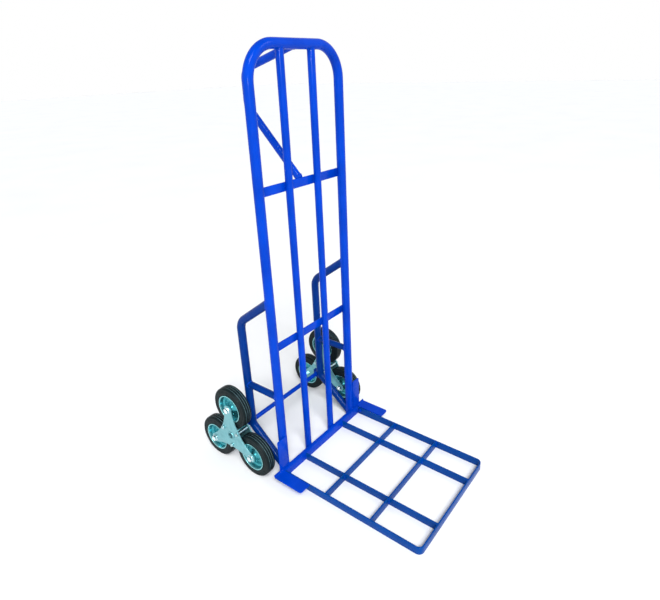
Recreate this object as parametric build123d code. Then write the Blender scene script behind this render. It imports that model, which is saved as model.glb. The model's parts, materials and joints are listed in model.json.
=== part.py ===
"""Stair-climbing hand truck: a bent-tube frame, a folding grid toe plate and two three-wheel stars.

Axes: X across the truck, -Y forward over the toe plate, +Z up, floor at Z = 0.
Every Y below is measured from the plane of the uprights (forward is negative). The whole truck is
then moved along Y, so that the origin lies on the floor under the middle of its bounding box.
"""
from build123d import *
from math import cos, radians, sin, sqrt
import os

# ---- driving dimensions (mm) ----
UPRIGHT_X = 202.0  # half the distance between the outer uprights
HOOP_OD = 32.0
HOOP_WALL = 1.8
HOOP_Z = 1461.5  # centre line of the top tube
HOOP_BEND = 102.0
FOOT_Z = 3.0  # lower end of the uprights, above their plugs
PLUG_STEM = 18.0  # how far a plug reaches up into its tube

INNER_OD = 25.0
INNER_X = 69.5
TUBE_WALL = 1.5

CROSSBAR = (30.0, 5.0)  # height, thickness
CROSSBAR_Z = {"upper": 1048.5, "middle": 507.5}
CROSSBAR_HALF = 196.0

SIDE_OD = 30.0
SIDE_TOP_Z = {"left": 696.0, "right": 712.0}  # where the upper leg meets the upright's axis
SIDE_KNEE_Z = {"left": 580.0, "right": 598.0}  # the right side frame is welded a little higher
SIDE_HEEL_Z = 144.0
SIDE_FOOT_Z = 11.5
SIDE_BENDS = (55.0, 30.0)
STRUT_OD = 25.0
STRUT_Z = 325.0

HANDLE_OD = 25.0
HANDLE_Y = 230.0  # rear run of the handle
HANDLE_ELBOW_Z = (1395.7, 1283.0)
HANDLE_FOOT_Z = 1041.0  # where the lower run meets the plane of the uprights
HANDLE_BEND = 40.0
HANDLE_CAP = 3.0

WHEEL_R = 82.0
STAR_ARM = 113.5  # star centre to wheel centre
AXLE_R = 9.0
AXLE_Z = WHEEL_R + STAR_ARM / 2  # two wheels of each star stand on the floor
SIDE_Y = 156.8  # rear run of the side frame
AXLE_Y = 177.8  # the axle lies behind the lower bends of the side frames

PLATE_T = 4.0
PLATE_X = (241.0, 291.0)  # inner face of the inner and of the outer star plate
PLATE_TIP_R = 18.0
PLATE_WAIST = 52.0  # star centre to the middle of a hollow side
TIE_RADIUS = 43.0
TIE_R = 6.0
TIE_NECK_R = 4.0  # in the star plates
TIE_HEAD = (7.0, 8.0, 3.0)  # radius, height, rounding of the riveted heads
HUB_R = 15.0
HUB_X = (238.0, 298.0)
COUNTERBORE = (11.6, 288.0)  # radius, and where it starts
AXLE_END_X = 293.0
CIRCLIP = (1.2, 0.5)  # thickness, and how deep its groove is
COLLAR = (14.0, 12.0)  # radius, length
WASHER = (15.0, 1.5)  # radius, thickness
GUSSET_Z = (-18.0, 26.0)  # lower and upper edge, from the axle
GUSSET_Y = (-6.0, 16.0)  # front edge from the side frame, rear edge from the axle
GUSSET_CHAMFER = 10.0
RUN_FIT = 0.08  # radial running clearance of every shaft
FIT = 0.05  # radial clearance of what stands still on its shaft

WHEEL_X = 268.0  # middle plane of the wheels
TYRE_W = 38.0
RIM_R = 52.0
RIM_T = 1.6
WHEEL_HUB_R = 11.0
WHEEL_HUB_HALF = 22.0
BOLT_R = 6.0
BOLT_WASHER = (12.0, 2.4)  # radius, thickness
BOLT_HEX = (19.0, 7.6, 10.0)  # across flats, height of the head, height of the nut
BOLT_TAIL = 4.0  # thread standing out of a nut of a wheel

GRID_X = 230.5  # outer face of the side bars
GRID_FRONT_Y = -592.5
GRID_REAR_Y = -23.0
GRID_H = 30.0
BAR_T = 5.0
GRID_CORNER = 20.0
LONG_BAR_X = 115.3
CROSS_BAR_Y = {"rear": -213.0, "front": -402.0}
LAP_FIT = 0.1

HINGE_Y = -41.0
HINGE_Z = 20.0
HINGE_R = 4.0
HINGE_HEX = (13.0, 5.3, 6.5)  # across flats, height of the head, height of the nut
HINGE_TAIL = 2.5  # thread standing out of a nut
HINGE_PLAY = 0.5  # between a bolt's head and the grid

BASE_T = 3.0
BASE_GAP = 0.4  # between the lip and the level grid
BASE_LEG_Y = -15.5  # front face of the standing leg, which rests on the inner uprights
BASE_LIP = (-27.5, 231.5)  # front edge of the lip, and its half length

SHEET_T = 4.0
TAB_X = (232.0, 277.5)
TAB_Y = -145.0
TAB_Z = 32.0  # top of the tab
TAB_BEND = 4.0
TAB_UPTURN = 6.0
TAB_CORNER = 10.0
CHEEK_X = (206.0, 247.0)
CHEEK_TOP_Z = 166.0
CHEEK_ROUND = 5.0
LUG = (24.0, 22.0)  # length along Y, height
LUG_ROUND = 8.0
LUG_X = 232.5  # inner face of the lugs

REAR_Y = AXLE_Y + STAR_ARM * cos(radians(30)) + WHEEL_R
CENTRE_Y = (GRID_FRONT_Y + REAR_Y) / 2
SIDES = {"left": -1, "right": 1}
ARMS = {"top": 90, "front": 210, "rear": 330}  # degrees in the YZ plane, from +Y towards +Z


# ---- helpers ----
def save(node, *solids):
    """Moves the solids of one node to the truck's origin and writes them as one STEP file."""
    moved = [Pos(0, -CENTRE_Y, 0) * solid for solid in solids]
    export_step(moved[0] if len(moved) == 1 else Compound(children=moved), f"parts/{node}.step")


def rod(points, diameter, bends=None):
    """A solid round bar along straight runs joined by tangent arcs."""
    path = FilletPolyline(*points, radius=bends) if bends else Line(*points)
    start = Plane(origin=path @ 0, z_dir=path % 0)
    return sweep(start * Circle(diameter / 2), path=path)


def tube(points, diameter, wall, bends=None):
    return rod(points, diameter, bends) - rod(points, diameter - 2 * wall, bends)


def block(x, y, z):
    """A box from its (low, high) pair along each axis."""
    size = [high - low for low, high in (x, y, z)]
    middle = [(high + low) / 2 for low, high in (x, y, z)]
    return Pos(*middle) * Box(*size)


def span(side, low, high):
    """The X interval of a piece that lies between two distances from the middle of the truck."""
    return sorted((side * low, side * high))


def disc(side, radius, low, high, y=0.0, z=0.0):
    """A cylinder along X, between two distances from the middle of the truck."""
    return Pos(side * (low + high) / 2, y, z) * Rot(0, 90, 0) * Cylinder(radius, high - low)


def hexagon(side, across_flats, low, high, y=0.0, z=0.0):
    start = Plane(origin=(side * low, y, z), z_dir=(side, 0, 0))
    return extrude(start * RegularPolygon(across_flats / 2, 6, major_radius=False), high - low)


def around(radius, degrees):
    """A point of a star, as Y and Z from the star's centre."""
    return radius * cos(radians(degrees)), radius * sin(radians(degrees))


def at_star(y, z):
    return {"y": AXLE_Y + y, "z": AXLE_Z + z}


os.makedirs("parts", exist_ok=True)

# ---- frame: hoop, inner uprights, crossbars ----
hoop_line = [
    (-UPRIGHT_X, 0, FOOT_Z),
    (-UPRIGHT_X, 0, HOOP_Z),
    (UPRIGHT_X, 0, HOOP_Z),
    (UPRIGHT_X, 0, FOOT_Z),
]
hoop_solid = rod(hoop_line, HOOP_OD, HOOP_BEND)
save("main_hoop", tube(hoop_line, HOOP_OD, HOOP_WALL, HOOP_BEND))

for name, side in SIDES.items():
    line = [(side * INNER_X, 0, FOOT_Z), (side * INNER_X, 0, HOOP_Z)]
    save(f"inner_upright_{name}", tube(line, INNER_OD, TUBE_WALL) - hoop_solid)

bar_y = (INNER_OD / 2, INNER_OD / 2 + CROSSBAR[1])
for name, z in CROSSBAR_Z.items():
    bar = block((-CROSSBAR_HALF, CROSSBAR_HALF), bar_y, (z - CROSSBAR[0] / 2, z + CROSSBAR[0] / 2))
    save(f"{name}_crossbar", bar - hoop_solid)

# plugs that close the uprights and carry them on the floor
plugs = []
for side in SIDES.values():
    stem = Cylinder(HOOP_OD / 2 - HOOP_WALL - FIT, PLUG_STEM)
    stem = Pos(side * UPRIGHT_X, 0, FOOT_Z + PLUG_STEM / 2) * stem
    cap = Pos(side * UPRIGHT_X, 0, FOOT_Z / 2) * Cylinder(HOOP_OD / 2, FOOT_Z)
    plugs.append(stem + cap)
save("upright_plugs", *plugs)

# base angle: its lip lies over the grid's rear bar and stops the grid at level
lip_z = (GRID_H + BASE_GAP, GRID_H + BASE_GAP + BASE_T)
leg = block((-UPRIGHT_X, UPRIGHT_X), (BASE_LEG_Y, BASE_LEG_Y + BASE_T), (FOOT_Z, lip_z[1]))
lip = block((-BASE_LIP[1], BASE_LIP[1]), (BASE_LIP[0], BASE_LEG_Y), lip_z)
save("base_angle", leg + lip - hoop_solid)

# ---- frame: side frames, struts, handle ----
for name, side in SIDES.items():
    x = side * UPRIGHT_X
    line = [
        (x, 0, SIDE_TOP_Z[name]),
        (x, SIDE_Y, SIDE_KNEE_Z[name]),
        (x, SIDE_Y, SIDE_HEEL_Z),
        (x, 0, SIDE_FOOT_Z),
    ]
    side_solid = rod(line, SIDE_OD, SIDE_BENDS)
    side_frame = tube(line, SIDE_OD, TUBE_WALL, SIDE_BENDS) - hoop_solid
    save(f"side_frame_{name}", side_frame.solids().sort_by(SortBy.VOLUME)[-1])

    strut = tube([(x, 0, STRUT_Z), (x, SIDE_Y, STRUT_Z)], STRUT_OD, TUBE_WALL)
    save(f"side_strut_{name}", strut - hoop_solid - side_solid)

    # gusset between the side frame and the axle, which passes through it
    gusset = block(
        (x - SHEET_T / 2, x + SHEET_T / 2),
        (SIDE_Y + GUSSET_Y[0], AXLE_Y + GUSSET_Y[1]),
        (AXLE_Z + GUSSET_Z[0], AXLE_Z + GUSSET_Z[1]),
    )
    gusset = chamfer(gusset.edges().filter_by(Axis.X).group_by(Axis.Y)[-1], GUSSET_CHAMFER)
    gusset -= side_solid + disc(side, AXLE_R, UPRIGHT_X - SHEET_T, UPRIGHT_X + SHEET_T, AXLE_Y, AXLE_Z)
    save(f"axle_gusset_{name}", gusset.solids().sort_by(SortBy.VOLUME)[-1])

handle_line = [
    (0, 0, HOOP_Z),
    (0, HANDLE_Y, HANDLE_ELBOW_Z[0]),
    (0, HANDLE_Y, HANDLE_ELBOW_Z[1]),
    (0, 0, HANDLE_FOOT_Z),
]
handle = rod(handle_line, HANDLE_OD, HANDLE_BEND)
bore = rod(handle_line, HANDLE_OD - 2 * TUBE_WALL, HANDLE_BEND)
# its lower end stands on the rear face of the upper crossbar, closed by a cap
before_bar = (-HANDLE_OD, HANDLE_OD), (HANDLE_FOOT_Z - 2 * HANDLE_OD, HANDLE_FOOT_Z + 2 * HANDLE_OD)
bore -= block(before_bar[0], (-HANDLE_OD, bar_y[1] + HANDLE_CAP), before_bar[1])
handle -= block(before_bar[0], (-HANDLE_OD, bar_y[1]), before_bar[1])
save("rear_handle", handle - bore - hoop_solid)

# ---- frame: toe brackets, hinge lugs, bolts and nuts ----
tab_bottom = TAB_Z - SHEET_T
cheek_y = (-HOOP_OD / 2 - SHEET_T, -HOOP_OD / 2)
bend_centre_y = cheek_y[0] - TAB_BEND
lugs = []
hinge_bolts = []
hinge_nuts = []
for name, side in SIDES.items():
    # tab and its upturned rear edge: one bent strip, seen along X
    tab = block(span(side, *TAB_X), (TAB_Y, bend_centre_y), (tab_bottom, TAB_Z))
    front_corner = tab.edges().filter_by(Axis.Z).sort_by(Axis.Y)[:2].sort_by(Axis.X)
    tab = fillet(front_corner[0] if side < 0 else front_corner[-1], TAB_CORNER)
    bend = disc(side, TAB_BEND + SHEET_T, *TAB_X, bend_centre_y, TAB_Z + TAB_BEND)
    bend -= disc(side, TAB_BEND, *TAB_X, bend_centre_y, TAB_Z + TAB_BEND)
    bend &= block(span(side, *TAB_X), (bend_centre_y, 0), (0, TAB_Z + TAB_BEND))
    upturn = block(span(side, *TAB_X), cheek_y, (TAB_Z + TAB_BEND, TAB_Z + TAB_UPTURN))
    cheek = block(span(side, *CHEEK_X), cheek_y, (TAB_Z + TAB_BEND, CHEEK_TOP_Z))
    cheek_top = cheek.edges().filter_by(Axis.Y).group_by(Axis.Z)[-1]
    cheek = fillet(cheek_top, CHEEK_ROUND)
    save(f"toe_bracket_{name}", tab + bend + upturn + cheek)

    lug_outer = LUG_X + SHEET_T
    lug = block(
        span(side, LUG_X, lug_outer),
        (HINGE_Y - LUG[0] / 2, HINGE_Y + LUG[0] / 2),
        (tab_bottom - LUG[1], tab_bottom),
    )
    lug = fillet(lug.edges().filter_by(Axis.X).group_by(Axis.Z)[0], LUG_ROUND)
    lugs.append(lug - disc(side, HINGE_R + FIT, GRID_X, lug_outer, HINGE_Y, HINGE_Z))

    across_flats, head_height, nut_height = HINGE_HEX
    head_x = GRID_X - BAR_T - HINGE_PLAY
    shank = disc(side, HINGE_R, head_x, lug_outer + nut_height + HINGE_TAIL, HINGE_Y, HINGE_Z)
    head = hexagon(side, across_flats, head_x - head_height, head_x, HINGE_Y, HINGE_Z)
    hinge_bolts.append(shank + head)
    nut = hexagon(side, across_flats, lug_outer, lug_outer + nut_height, HINGE_Y, HINGE_Z)
    nut -= disc(side, HINGE_R + FIT, lug_outer, lug_outer + nut_height, HINGE_Y, HINGE_Z)
    hinge_nuts.append(nut)
save("hinge_lugs", *lugs)
save("hinge_bolts", *hinge_bolts)
save("hinge_nuts", *hinge_nuts)

# ---- axle and what holds the stars on it ----
axle = disc(1, AXLE_R, -AXLE_END_X, AXLE_END_X, AXLE_Y, AXLE_Z)
groove_r = AXLE_R - CIRCLIP[1]
collars = []
washers = []
circlips = []
for side in SIDES.values():
    ring_x = (COUNTERBORE[1] + 0.6, COUNTERBORE[1] + 0.6 + CIRCLIP[0])
    groove_x = (ring_x[0] - FIT, ring_x[1] + FIT)
    groove = disc(side, AXLE_R + 1, *groove_x, AXLE_Y, AXLE_Z)
    axle -= groove - disc(side, groove_r, *groove_x, AXLE_Y, AXLE_Z)
    ring = disc(side, COUNTERBORE[0] - 0.6, *ring_x, AXLE_Y, AXLE_Z)
    circlips.append(ring - disc(side, groove_r, *ring_x, AXLE_Y, AXLE_Z))
    washer_x = (HUB_X[0] - 0.3 - WASHER[1], HUB_X[0] - 0.3)
    washer = disc(side, WASHER[0], *washer_x, AXLE_Y, AXLE_Z)
    washers.append(washer - disc(side, AXLE_R + FIT, *washer_x, AXLE_Y, AXLE_Z))
    collar_x = (washer_x[0] - 0.2 - COLLAR[1], washer_x[0] - 0.2)
    collar = disc(side, COLLAR[0], *collar_x, AXLE_Y, AXLE_Z)
    collars.append(collar - disc(side, AXLE_R, *collar_x, AXLE_Y, AXLE_Z))
save("axle", axle)
save("axle_collars", *collars)
save("axle_washers", *washers)
save("axle_circlips", *circlips)

# ---- toe grid: rim, rear bar, inner bars with half-lap joints ----
outer = block((-GRID_X, GRID_X), (GRID_FRONT_Y, GRID_REAR_Y), (0, GRID_H))
outer = fillet(outer.edges().filter_by(Axis.Z).group_by(Axis.Y)[0], GRID_CORNER)
inner_x = GRID_X - BAR_T
inner_front = GRID_FRONT_Y + BAR_T
inner = block((-inner_x, inner_x), (inner_front, GRID_REAR_Y), (0, GRID_H))
inner = fillet(inner.edges().filter_by(Axis.Z).group_by(Axis.Y)[0], GRID_CORNER - BAR_T)
pivot_hole = disc(1, HINGE_R + RUN_FIT, -GRID_X - 1, GRID_X + 1, HINGE_Y, HINGE_Z)
save("grid_rim", outer - inner - pivot_hole)

rear_bar_y = (GRID_REAR_Y - BAR_T, GRID_REAR_Y)
save("grid_rear_bar", block((-inner_x, inner_x), rear_bar_y, (0, GRID_H)))

half = BAR_T / 2
lap = half + LAP_FIT
for name, side in SIDES.items():
    x = side * LONG_BAR_X
    bar = block((x - half, x + half), (inner_front, rear_bar_y[0]), (0, GRID_H))
    for y in CROSS_BAR_Y.values():
        bar -= block((x - lap, x + lap), (y - lap, y + lap), (GRID_H / 2, GRID_H))
    save(f"grid_long_bar_{name}", bar)

for name, y in CROSS_BAR_Y.items():
    bar = block((-inner_x, inner_x), (y - half, y + half), (0, GRID_H))
    for x in (-LONG_BAR_X, LONG_BAR_X):
        bar -= block((x - lap, x + lap), (y - lap, y + lap), (0, GRID_H / 2))
    save(f"grid_cross_bar_{name}", bar)

# ---- wheel section, as distances from the wheel's middle plane and radii ----
SIDEWALL = TYRE_W / 2
SHOULDER = 9.0
tyre_face = make_face(
    Polyline((-SIDEWALL, RIM_R + 0.1), (SIDEWALL, RIM_R + 0.1), (SIDEWALL, WHEEL_R - SHOULDER))
    + ThreePointArc(
        (SIDEWALL, WHEEL_R - SHOULDER), (SIDEWALL - 2.2, WHEEL_R - 3.2), (SIDEWALL - 7, WHEEL_R - 0.7)
    )
    + ThreePointArc((SIDEWALL - 7, WHEEL_R - 0.7), (0, WHEEL_R), (7 - SIDEWALL, WHEEL_R - 0.7))
    + ThreePointArc(
        (7 - SIDEWALL, WHEEL_R - 0.7), (2.2 - SIDEWALL, WHEEL_R - 3.2), (-SIDEWALL, WHEEL_R - SHOULDER)
    )
    + Line((-SIDEWALL, WHEEL_R - SHOULDER), (-SIDEWALL, RIM_R + 0.1))
)
for groove_at in (-9.0, 0.0, 9.0):
    tyre_face -= Pos(groove_at, WHEEL_R) * Rectangle(1.4, 3.4)
tyre = revolve(tyre_face, Axis.X)

# one pressed half of the rim: lip, bead seat, dish, collar on the hub
HALF_RIM = [
    (SIDEWALL + 0.2, RIM_R),
    (SIDEWALL + 0.2, RIM_R + 2.4),
    (SIDEWALL + 0.2 + RIM_T, RIM_R + 2.4),
    (SIDEWALL + 0.2 + RIM_T, RIM_R - 1.4),
    (5.0, RIM_R - 4.0),
    (RIM_T, RIM_R - 10.0),
    (RIM_T, 22.0),
    (8.0, 16.0),
    (14.0, WHEEL_HUB_R + RIM_T),
    (14.0, WHEEL_HUB_R + 0.05),
    (7.4, WHEEL_HUB_R + 0.05),
    (7.4, WHEEL_HUB_R + 2.6),
    (0.0, 20.0),
    (0.0, RIM_R - 8.6),
    (4.0, RIM_R - 2.4),
    (4.0, RIM_R),
]
rim_half = revolve(make_face(Polyline(*HALF_RIM, close=True)), Axis.X)
rim_halves = [rim_half, mirror(rim_half, about=Plane.YZ)]
wheel_hub = disc(1, WHEEL_HUB_R, -WHEEL_HUB_HALF, WHEEL_HUB_HALF)
wheel_hub -= disc(1, BOLT_R + RUN_FIT, -WHEEL_HUB_HALF, WHEEL_HUB_HALF)

# ---- star plate outline: three round tips joined by hollow sides ----
outline = []
for angle in ARMS.values():
    centre = Vector(*around(STAR_ARM, angle))
    across = Vector(*around(PLATE_TIP_R, angle + 90))
    tip = Vector(*around(STAR_ARM + PLATE_TIP_R, angle))
    waist = Vector(*around(PLATE_WAIST, angle + 60))
    next_centre = Vector(*around(STAR_ARM, angle + 120))
    next_across = Vector(*around(PLATE_TIP_R, angle + 30))
    outline.append(ThreePointArc(centre - across, tip, centre + across))
    outline.append(ThreePointArc(centre + across, waist, next_centre + next_across))
star_face = make_face(outline)
star_face -= Circle(HUB_R)
for angle in ARMS.values():
    star_face -= Pos(*around(STAR_ARM, angle)) * Circle(BOLT_R + 0.1)
    star_face -= Pos(*around(TIE_RADIUS, angle + 60)) * Circle(TIE_NECK_R + FIT)

# ---- the two stars and their six wheels ----
for name, side in SIDES.items():
    for plate, x in zip(("inner", "outer"), PLATE_X):
        start = Plane(
            origin=(min(side * x, side * (x + PLATE_T)), AXLE_Y, AXLE_Z), x_dir=(0, 1, 0), z_dir=(1, 0, 0)
        )
        save(f"star_plate_{plate}_{name}", extrude(start * star_face, PLATE_T))

    hub = disc(side, HUB_R, *HUB_X, AXLE_Y, AXLE_Z)
    hub -= disc(side, AXLE_R + RUN_FIT, *HUB_X, AXLE_Y, AXLE_Z)
    hub -= disc(side, COUNTERBORE[0], COUNTERBORE[1], HUB_X[1], AXLE_Y, AXLE_Z)
    save(f"star_hub_{name}", hub)

    ties = []
    bolts = []
    nuts = []
    inner_out = PLATE_X[0]
    outer_out = PLATE_X[1] + PLATE_T
    for arm, angle in ARMS.items():
        here = at_star(*around(TIE_RADIUS, angle + 60))
        tie = disc(side, TIE_R, PLATE_X[0] + PLATE_T, PLATE_X[1], **here)
        tie += disc(side, TIE_NECK_R, inner_out, outer_out, **here)
        heads = ((inner_out - TIE_HEAD[1], inner_out), 0), ((outer_out, outer_out + TIE_HEAD[1]), -1)
        for head_x, rim in heads:
            head = disc(side, TIE_HEAD[0], *head_x, **here)
            free_end = head.edges().filter_by(GeomType.CIRCLE).sort_by(Axis.X)
            tie += fillet(free_end[rim if side > 0 else -1 - rim], TIE_HEAD[2])
        ties.append(tie)

        here = at_star(*around(STAR_ARM, angle))
        across_flats, head_height, nut_height = BOLT_HEX
        head_x = outer_out + BOLT_WASHER[1]
        bolt = disc(side, BOLT_R, inner_out - nut_height - BOLT_TAIL, outer_out, **here)
        bolt += disc(side, BOLT_WASHER[0], outer_out, head_x, **here)
        bolt += hexagon(side, across_flats, head_x, head_x + head_height, **here)
        bolts.append(bolt)
        nut = hexagon(side, across_flats, inner_out - nut_height, inner_out, **here)
        nuts.append(nut - disc(side, BOLT_R + FIT, inner_out - nut_height, inner_out, **here))

        place = Pos(side * WHEEL_X, here["y"], here["z"])
        save(f"tyre_{name}_{arm}", place * tyre)
        save(f"rim_{name}_{arm}", *[place * rim_side for rim_side in rim_halves])
        save(f"wheel_hub_{name}_{arm}", place * wheel_hub)
    save(f"tie_bars_{name}", *ties)
    save(f"wheel_bolts_{name}", *bolts)
    save(f"wheel_nuts_{name}", *nuts)
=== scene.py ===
"""Looks of the stair-climbing hand truck: painted tube frame, grid toe plate, zinc-plated wheel stars.

Metres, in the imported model's frame: X across, -Y forward over the toe grid, Z up. Places are read
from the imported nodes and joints; only sizes the model doesn't state are named here.
"""
import json
from math import cos, pi, radians, sin, sqrt, tan

import bmesh
import bpy
from mathutils import Matrix, Vector


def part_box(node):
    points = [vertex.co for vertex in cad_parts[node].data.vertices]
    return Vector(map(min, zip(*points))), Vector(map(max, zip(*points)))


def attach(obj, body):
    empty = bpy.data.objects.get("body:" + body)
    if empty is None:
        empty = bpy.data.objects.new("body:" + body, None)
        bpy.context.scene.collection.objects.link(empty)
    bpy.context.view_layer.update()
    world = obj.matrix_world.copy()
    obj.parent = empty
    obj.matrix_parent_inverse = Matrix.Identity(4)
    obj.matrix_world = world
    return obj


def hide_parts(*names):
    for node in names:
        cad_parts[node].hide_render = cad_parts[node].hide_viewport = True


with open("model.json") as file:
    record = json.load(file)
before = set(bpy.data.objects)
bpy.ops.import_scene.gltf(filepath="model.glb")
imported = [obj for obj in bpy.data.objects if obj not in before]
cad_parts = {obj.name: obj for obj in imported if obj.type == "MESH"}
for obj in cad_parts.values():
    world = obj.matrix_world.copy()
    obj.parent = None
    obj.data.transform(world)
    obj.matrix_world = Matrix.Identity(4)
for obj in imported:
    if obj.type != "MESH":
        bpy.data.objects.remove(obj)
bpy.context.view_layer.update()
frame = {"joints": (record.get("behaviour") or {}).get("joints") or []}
joint_at = {j["child"]: Vector(j["pos_m"]) for j in frame["joints"]}
SIDES = {"left": -1, "right": 1}
ARMS = ("top", "front", "rear")
X_AXIS = Vector((1, 0, 0))
Z_AXIS = Vector((0, 0, 1))
TURN_ABOUT = Matrix.Rotation(pi, 4, "Z")
ON_END = Matrix.Rotation(-pi / 2, 4, "Y")

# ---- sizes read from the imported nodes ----
hoop_low, hoop_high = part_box("main_hoop")
HOOP_R = (hoop_high.y - hoop_low.y) / 2
PLANE_Y = (hoop_high.y + hoop_low.y) / 2
UPRIGHT_X = hoop_high.x - HOOP_R
HOOP_Z = hoop_high.z - HOOP_R
FOOT_Z = hoop_low.z
inner_low, inner_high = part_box("inner_upright_right")
INNER_R = (inner_high.x - inner_low.x) / 2
INNER_X = (inner_high.x + inner_low.x) / 2
side_low, side_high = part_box("side_frame_right")
SIDE_R = (side_high.x - side_low.x) / 2
SIDE_Y = side_high.y - SIDE_R
strut_low, strut_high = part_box("side_strut_right")
STRUT_R = (strut_high.z - strut_low.z) / 2
STRUT_Z = (strut_low.z + strut_high.z) / 2
handle_low, handle_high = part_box("rear_handle")
HANDLE_R = (handle_high.x - handle_low.x) / 2
HANDLE_Y = handle_high.y - HANDLE_R
AXLE = joint_at["star_right"]
axle_low, axle_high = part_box("axle")
AXLE_R = (axle_high.z - axle_low.z) / 2
STAR_ARM = joint_at["wheel_right_top"].z - AXLE.z
WHEEL_R = joint_at["wheel_right_rear"].z
HINGE = joint_at["toe_grid"]

# ---- sizes of the drawn detail ----
# tubes
HOOP_BEND = 0.102
SIDE_TOP_Z = {"left": 0.696, "right": 0.712}
SIDE_KNEE_Z = {"left": 0.580, "right": 0.598}
SIDE_HEEL_Z, SIDE_FOOT_Z = 0.144, 0.0115
SIDE_BENDS = (0.055, 0.030)
HANDLE_ELBOWS_Z = (1.3957, 1.283)
HANDLE_END_Z = 1.041
HANDLE_BEND = 0.040
# sheet and flat bar
SHEET_T = 0.004
TAB_BEND = 0.004
UPTURN = 0.006
TAB_CORNER = 0.010
CHEEK_W = 0.041
CHEEK_ROUND = 0.005
LUG_ROUND = 0.008
GUSSET_CUT = 0.010
BASE_T = 0.003
BASE_BACK = 0.0155
BAR_T = 0.005
BAR_ROUND = 0.0012
GRID_CORNER = 0.0175
# weld beads, and how far they stand off their seam
SEAM_LIFT = 0.0006
BEAD_R = 0.0022
THIN_BEAD_R = 0.0018
RING_BEAD_R = 0.0019
HUB_BEAD_R = 0.0016
# hinge bolts
HINGE_R = 0.004
HINGE_HOLE_R = 0.00405
HINGE_HEX = 0.013
HINGE_HEAD_H = 0.0053
HINGE_NUT_H = 0.0065
# what sits on the axle
COLLAR_W = 0.012
SCREW_R = 0.0026
WASHER_W = 0.0015
CLIP_W = 0.0012
CLIP_GAP = radians(38)
# stars: the arms' angles are in degrees, from the rear upward; each bolt head is turned its own way
ARM_ANGLES = (90, 210, 330)
HEX_TURNS = (7, 22, 41)
PLATE_TIP_R = 0.018
PLATE_WAIST = 0.052
TIE_CIRCLE = 0.043
HUB_R = 0.015
HUB_RECESS_R = 0.0116
HUB_RECESS = 0.010
TIE_R = 0.006
TIE_HOLE_R = 0.00405
TIE_HEAD_R = 0.007
TIE_HEAD_H = 0.008
BOLT_R = 0.006
BOLT_HOLE_R = 0.0061
BOLT_HEX = 0.019
BOLT_HEAD_H = 0.0076
NUT_H = 0.010
NUT_BORE_R = 0.00605
FLAT_WASHER_R = 0.012
FLAT_WASHER_T = 0.0024
# wheels
RIM_T = 0.0015
WHEEL_BORE_R = 0.00608
RIVET_CIRCLE = 0.0315
TYRE_HALF = 0.0189
TYRE_INSIDE = 0.0521
GROOVE_DEPTH = 0.0016
GROOVE_FLOOR = WHEEL_R - GROOVE_DEPTH - 0.0004
GROOVE_R = (WHEEL_R - 0.0014, WHEEL_R - 0.0010)
TREAD_HALF = 0.0110
# floor
FLOOR_HALF = 40.0
FLOOR_Z = -0.0005


# ---- mesh helpers ----
def smooth(mesh, angle=35):
    mesh.shade_smooth()
    mesh.set_sharp_from_angle(angle=radians(angle))
    return mesh


def piece(name, mesh, material, body, replaces=(), at=None, bevel=0.0):
    """Links a mesh as one piece of the truck, parents it to its body and hides the CAD nodes that it
    replaces.
    """
    made = bpy.data.objects.new(name, mesh)
    bpy.context.scene.collection.objects.link(made)
    made.data.materials.clear()
    made.data.materials.append(material)
    if at is not None:
        made.matrix_world = at
    if bevel:
        edge = made.modifiers.new("edge", "BEVEL")
        edge.width = bevel
        edge.segments = 2
        edge.limit_method = "ANGLE"
        edge.angle_limit = radians(40)
    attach(made, body)
    if replaces:
        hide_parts(*replaces)
    return made


def mesh_of(rings, closed=False):
    """A skin over rings of points: its ends are capped, or closed joins the last ring to the first."""
    bm = bmesh.new()
    rows = [[bm.verts.new(p) for p in ring] for ring in rings]
    pairs = list(zip(rows, rows[1:]))
    if closed:
        pairs.append((rows[-1], rows[0]))
    for low, high in pairs:
        for i in range(len(low)):
            j = (i + 1) % len(low)
            bm.faces.new((low[i], low[j], high[j], high[i]))
    if not closed:
        bm.faces.new(list(reversed(rows[0])))
        bm.faces.new(rows[-1])
    return finish_mesh(bm)


def finish_mesh(bm, angle=35):
    """Joins doubled points, turns the faces outward and shades the mesh."""
    bmesh.ops.remove_doubles(bm, verts=bm.verts, dist=1e-7)
    bmesh.ops.recalc_face_normals(bm, faces=bm.faces)
    mesh = bpy.data.meshes.new("piece")
    bm.to_mesh(mesh)
    bm.free()
    return smooth(mesh, angle)


def joined(meshes):
    """Several meshes as one."""
    bm = bmesh.new()
    for mesh in meshes:
        bm.from_mesh(mesh)
    mesh = bpy.data.meshes.new("piece")
    bm.to_mesh(mesh)
    bm.free()
    return smooth(mesh)


def moved(mesh, matrix):
    """A copy of a mesh in another place. A mirror turns its faces round."""
    copy = mesh.copy()
    copy.transform(matrix)
    if matrix.determinant() < 0:
        copy.flip_normals()
    return copy


def bent(corners, radii, step=6.0):
    """Points along straight runs joined by arcs that touch them."""
    corners = [Vector(c) for c in corners]
    radii = radii if isinstance(radii, (list, tuple)) else [radii] * (len(corners) - 2)
    points = [corners[0]]
    for before, corner, after, radius in zip(corners, corners[1:], corners[2:], radii):
        back, on = (before - corner).normalized(), (after - corner).normalized()
        half = back.angle(on) / 2
        if radius <= 0 or half > radians(89.5):
            points.append(corner)
            continue
        centre = corner + (back + on).normalized() * radius / sin(half)
        start = corner + back * radius / tan(half) - centre
        end = corner + on * radius / tan(half) - centre
        count = max(2, round((180 - 2 * half * 180 / pi) / step))
        points += [centre + start.slerp(end, k / count) * radius for k in range(count + 1)]
    return points + [corners[-1]]


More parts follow.
